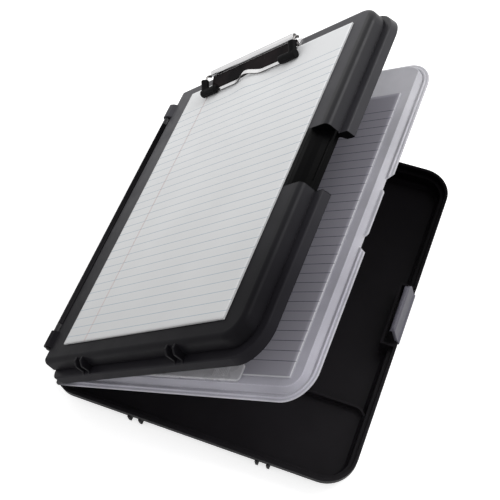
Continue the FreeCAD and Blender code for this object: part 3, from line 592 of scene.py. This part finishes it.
smoked = scooped_plastic("smoked_plastic_cover", cover_front_colour, cover_back_colour, roughness=0.34)
tray_plastic = moulded_plastic("smoked_plastic_tray", tray_front_colour, tray_back_colour,
                               roughness=0.40, front_shine=0.08, back_shine=0.02)
latch_plastic = moulded_plastic("grey_latch_plastic", latch_front_colour, latch_back_colour,
                                roughness=0.36, front_shine=0.3, back_shine=0.3, edge_radius=0.0022)
frosted = frosted_plastic("frosted_plastic", frost_front_colour, frost_back_colour, roughness=0.34)
retainer_plastic = frosted_plastic("retainer_plastic", retainer_colour, retainer_colour, roughness=0.28)
sheet_paper = ruled_paper("ruled_paper", (paper_front_colour, paper_back_colour),
                          painted_shading_axis="Y", painted_shading_length=sheet_length, lines=line_colour, pitch=line_pitch,
                          top_margin=sheet_top_margin, length=sheet_length, has_margin=True)
filler_paper = ruled_paper("ruled_filler_paper", (filler_hinge_painted_shade, filler_latch_painted_shade),
                           painted_shading_axis="X", painted_shading_length=filler_width, lines=filler_line_colour,
                           pitch=filler_line_pitch, top_margin=filler_top_margin, length=filler_length,
                           has_margin=False)
stack_paper = paper_edge("paper_stack_side", paper_front_colour)
filler_stack_paper = paper_edge("filler_stack_side", frost_back_colour)
chrome = plated_metal("plated_steel", chrome_colour, chrome_dull, roughness=0.14)
lever_steel = lever_metal("lever_steel")
jaw_steel = jaw_metal("jaw_steel")
pin_steel = plated_metal("dark_pin", pin_colour, pin_dull, roughness=0.35)
drawn_wire = plated_metal("drawn_steel", wire_colour, wire_dull, roughness=0.24)
rubber = soft_rubber("black_rubber", rubber_colour, rubber_dusty)

node_materials = {
    "tray_shell": tray_plastic,
    "hinge_pin_front": pin_steel,
    "hinge_pin_back": pin_steel,
    "latch_pin": pin_steel,
    "latch_lever": latch_plastic,
    "divider_panel": frosted,
    "sheet_retainer": retainer_plastic,
    "filed_sheet_stack": filler_stack_paper,
    "filed_top_sheet": filler_paper,
    "cover_shell": smoked,
    "writing_sheet_stack": stack_paper,
    "writing_top_sheet": sheet_paper,
    "clip_base": chrome,
    "clip_rivet_left": chrome,
    "clip_rivet_right": chrome,
    "clip_pin": drawn_wire,
    "clip_spring": drawn_wire,
    "clip_lever": lever_steel,
    "clip_jaw": jaw_steel,
    "clip_boot_left": rubber,
    "clip_boot_right": rubber,
}
for node_name, node_material in node_materials.items():
    node = nodes[node_name]
    node.data.materials.clear()
    node.data.materials.append(node_material)


# Detailed pieces

def lid_matrix(angle):
    """Frame of a lid: origin on the hinge axis, X toward the latch side, Z out of its upper face."""
    return Matrix.Translation(hinge_point) @ Matrix.Rotation(-angle, 4, "Y")


def new_piece(name, mesh_maker, matrix, body, material):
    mesh = bpy.data.meshes.new(name)
    work = bmesh.new()
    mesh_maker(work)
    work.to_mesh(mesh)
    work.free()
    piece = bpy.data.objects.new(name, mesh)
    bpy.context.scene.collection.objects.link(piece)
    piece.matrix_world = matrix
    piece.data.materials.append(material)
    for polygon in mesh.polygons:
        polygon.use_smooth = True
    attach(piece, body)
    return piece


def sheet_maker(corner, size, low, cells, lift):
    """Sheet as a closed grid whose height above its bed is given by lift(x, y); UV is in metres."""
    columns, rows = cells

    def make(work):
        uv = work.loops.layers.uv.new("UVMap")
        upper, lower = [], []
        for grid, height in ((upper, low + top_sheet_height), (lower, low)):
            for j in range(rows + 1):
                y = size[1] * j / rows
                spots = [size[0] * i / columns for i in range(columns + 1)]
                grid.append([work.verts.new((corner[0] + x, corner[1] + y, height + lift(x, y)))
                             for x in spots])
        for j in range(rows):
            for i in range(columns):
                for grid, order in ((upper, 1), (lower, -1)):
                    cell = [grid[j][i], grid[j][i + 1], grid[j + 1][i + 1], grid[j + 1][i]]
                    work.faces.new(cell[::order])
        rim = [(0, i) for i in range(columns)] + [(j, columns) for j in range(rows)]
        rim += [(rows, i) for i in range(columns, 0, -1)] + [(j, 0) for j in range(rows, 0, -1)]
        for (j, i), (n, m) in zip(rim, rim[1:] + rim[:1]):
            work.faces.new([lower[j][i], lower[n][m], upper[n][m], upper[j][i]])
        for face in work.faces:
            for loop in face.loops:
                loop[uv].uv = (loop.vert.co.x - corner[0], loop.vert.co.y - corner[1])
    return make


def writing_lift(x, y):
    """Paper pushed up into the arch of the jaw, with a faint wave along the sheet elsewhere."""
    bump = bump_height * math.exp(-((x - bump_x) / bump_width) ** 2 - ((y - bump_y) / bump_length) ** 2)
    wave = sheet_wave * (1 + math.sin(x * 38.0 + 1.0) * math.cos(y * 21.0))
    return bump + wave


def filler_lift(x, y):
    """A fainter wave along the filed sheet."""
    return sheet_wave * (1 + math.sin(x * 31.0) * math.cos(y * 17.0 + 0.6)) / 2


top_low = face_height + stack_height - top_sheet_height
writing_sheet = new_piece(
    "ruled_top_sheet",
    sheet_maker((sheet_from_hinge, sheet_front), (sheet_width, sheet_length), top_low, sheet_grid,
                writing_lift),
    lid_matrix(cover_angle), "cover", sheet_paper)
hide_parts("writing_top_sheet")

filler_top = filler_low + filler_height - top_sheet_height
filler_sheet = new_piece(
    "ruled_filler_sheet",
    sheet_maker((filler_from_hinge, filler_front), (filler_width, filler_length), filler_top, filler_grid,
                filler_lift),
    lid_matrix(divider_angle), "divider", filler_paper)
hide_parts("filed_top_sheet")


def rolled_edge(work):
    """Inner turn of the rolled steel handle, a spiral strip that shows at the open ends of the tube."""
    half = tube_length / 2 - roll_inset
    rings = []
    for side in (-half, half):
        outer, inner = [], []
        for step in range(roll_steps + 1):
            share = step / roll_steps
            angle = 2 * math.pi * roll_turns * share
            radius = tube_inner_radius - roll_gap - share * roll_inward
            for ring, reach in ((outer, radius), (inner, radius - roll_thickness)):
                y = curl_y + reach * math.cos(angle)
                z = curl_height + reach * math.sin(angle)
                ring.append(work.verts.new((clip_from_hinge + side, y, z)))
        rings.append((outer, inner))
    (out_a, in_a), (out_b, in_b) = rings
    for k in range(roll_steps):
        work.faces.new([out_a[k], out_b[k], out_b[k + 1], out_a[k + 1]])
        work.faces.new([in_a[k + 1], in_b[k + 1], in_b[k], in_a[k]])
        work.faces.new([out_a[k], out_a[k + 1], in_a[k + 1], in_a[k]])
        work.faces.new([out_b[k + 1], out_b[k], in_b[k], in_b[k + 1]])
    work.faces.new([out_a[0], in_a[0], in_b[0], out_b[0]])
    work.faces.new([out_a[-1], out_b[-1], in_b[-1], in_a[-1]])


def rounded(points, times):
    """Corners of a route cut off, twice as finely each time, with its ends kept."""
    for _ in range(times):
        cut = [points[0]]
        for a, b in zip(points, points[1:]):
            cut += [a.lerp(b, 0.25), a.lerp(b, 0.75)]
        points = cut + [points[-1]]
    return points


def wire_maker(points, radius, sides):
    """Round wire along a route; the ring is carried along without twist."""
    def make(work):
        along = (points[1] - points[0]).normalized()
        spoke = along.orthogonal().normalized() * radius
        rings = []
        for k, point in enumerate(points):
            onward = (points[min(k + 1, len(points) - 1)] - points[max(k - 1, 0)]).normalized()
            spoke.rotate(along.rotation_difference(onward))
            along = onward
            ring = []
            for side in range(sides):
                turn = Matrix.Rotation(2 * math.pi * side / sides, 3, along)
                ring.append(work.verts.new(point + turn @ spoke))
            rings.append(ring)
        for a, b in zip(rings, rings[1:]):
            for i in range(sides):
                j = (i + 1) % sides
                work.faces.new([a[i], a[j], b[j], b[i]])
        work.faces.new(rings[0][::-1])
        work.faces.new(rings[-1])
    return make


def jaw_wire(name, side):
    """Arm of the jaw: up out of the boot, over, and into the open end of the handle."""
    x = clip_from_hinge + side * jaw_arm_out
    tube_end = clip_from_hinge + side * tube_length / 2
    route = [Vector((x, jaw_y, jaw_arm_low)),
             Vector((x, jaw_y + jaw_arm_lean[0], jaw_arm_lean[1])),
             Vector((x, jaw_y + jaw_arm_top[0], jaw_arm_top[1])),
             Vector((x, curl_y, jaw_arm_in_tube)),
             Vector((tube_end, curl_y, jaw_arm_in_tube)),
             Vector((tube_end - side * jaw_arm_hold, curl_y, jaw_arm_in_tube))]
    maker = wire_maker(rounded(route, 2), jaw_wire_radius, jaw_wire_sides)
    new_piece(name, maker, lid_matrix(cover_angle), "clip", drawn_wire)


jaw_wire("jaw_wire_left", -1)
jaw_wire("jaw_wire_right", 1)


def soften(node):
    """Rounds a rubber piece off: the solid is remeshed finely and relaxed."""
    remesh = node.modifiers.new("fine_mesh", "REMESH")
    remesh.mode = "VOXEL"
    remesh.voxel_size = boot_voxel
    remesh.use_smooth_shade = True
    relax = node.modifiers.new("relax", "SMOOTH")
    relax.factor = 0.5
    relax.iterations = boot_relax_steps


for boot_name in ("clip_boot_left", "clip_boot_right"):
    soften(nodes[boot_name])

new_piece("clip_handle_roll", rolled_edge, lid_matrix(cover_angle), "clip", drawn_wire)


# Stage

def make_floor():
    """Pale floor that adds white for the camera and through the frosted plastic, and keeps its shadow."""
    mesh = bpy.data.meshes.new("floor")
    corners = [(x * floor_half, y * floor_half, 0) for x, y in ((-1, -1), (1, -1), (1, 1), (-1, 1))]
    mesh.from_pydata(corners, [], [(0, 1, 2, 3)])
    floor = bpy.data.objects.new("floor", mesh)
    bpy.context.scene.collection.objects.link(floor)
    material = bpy.data.materials.new("pale_floor")
    material.use_nodes = True
    tree = material.node_tree
    tree.nodes.clear()
    output = tree.nodes.new("ShaderNodeOutputMaterial")
    diffuse = tree.nodes.new("ShaderNodeBsdfDiffuse")
    diffuse.inputs["Color"].default_value = floor_colour
    glow = tree.nodes.new("ShaderNodeEmission")
    glow.inputs["Color"].default_value = white
    glow.inputs["Strength"].default_value = floor_glow
    both = tree.nodes.new("ShaderNodeAddShader")
    shown = tree.nodes.new("ShaderNodeMixShader")
    path = tree.nodes.new("ShaderNodeLightPath").outputs
    seen = add_math(tree, "MAXIMUM", path["Is Camera Ray"], path["Is Transmission Ray"])
    tree.links.new(diffuse.outputs[0], both.inputs[0])
    tree.links.new(glow.outputs[0], both.inputs[1])
    tree.links.new(seen, shown.inputs["Fac"])
    tree.links.new(diffuse.outputs[0], shown.inputs[1])
    tree.links.new(both.outputs[0], shown.inputs[2])
    tree.links.new(shown.outputs[0], output.inputs["Surface"])
    mesh.materials.append(material)


def make_lights():
    """Soft even light from the world, seen as white, and one broad lamp."""
    world = bpy.data.worlds.new("studio")
    world.use_nodes = True
    tree = world.node_tree
    background = tree.nodes["Background"]
    background.inputs["Color"].default_value = white
    path = tree.nodes.new("ShaderNodeLightPath").outputs
    seen = add_math(tree, "MAXIMUM", path["Is Camera Ray"], path["Is Glossy Ray"])
    seen = add_math(tree, "MAXIMUM", seen, path["Is Transmission Ray"])
    tree.links.new(along_share(tree, seen, world_strength, 1.0), background.inputs["Strength"])
    bpy.context.scene.world = world
    light = bpy.data.lights.new("key", "AREA")
    light.shape = "DISK"
    light.size = key_size
    light.energy = key_power
    key = bpy.data.objects.new("key", light)
    key.location = key_place
    key.rotation_euler = (aim_point - key_place).to_track_quat("-Z", "Y").to_euler()
    bpy.context.scene.collection.objects.link(key)


def make_camera():
    data = bpy.data.cameras.new("camera")
    data.lens = camera_lens
    data.sensor_width = camera_sensor
    data.clip_start, data.clip_end = camera_clip
    camera = bpy.data.objects.new("camera", data)
    turn = Matrix((camera_right, -camera_down, -camera_ahead)).transposed().to_4x4()
    camera.matrix_world = Matrix.Translation(camera_place) @ turn
    bpy.context.scene.collection.objects.link(camera)
    bpy.context.scene.camera = camera


make_floor()
make_lights()
make_camera()
bpy.context.scene.view_settings.view_transform = "Standard"
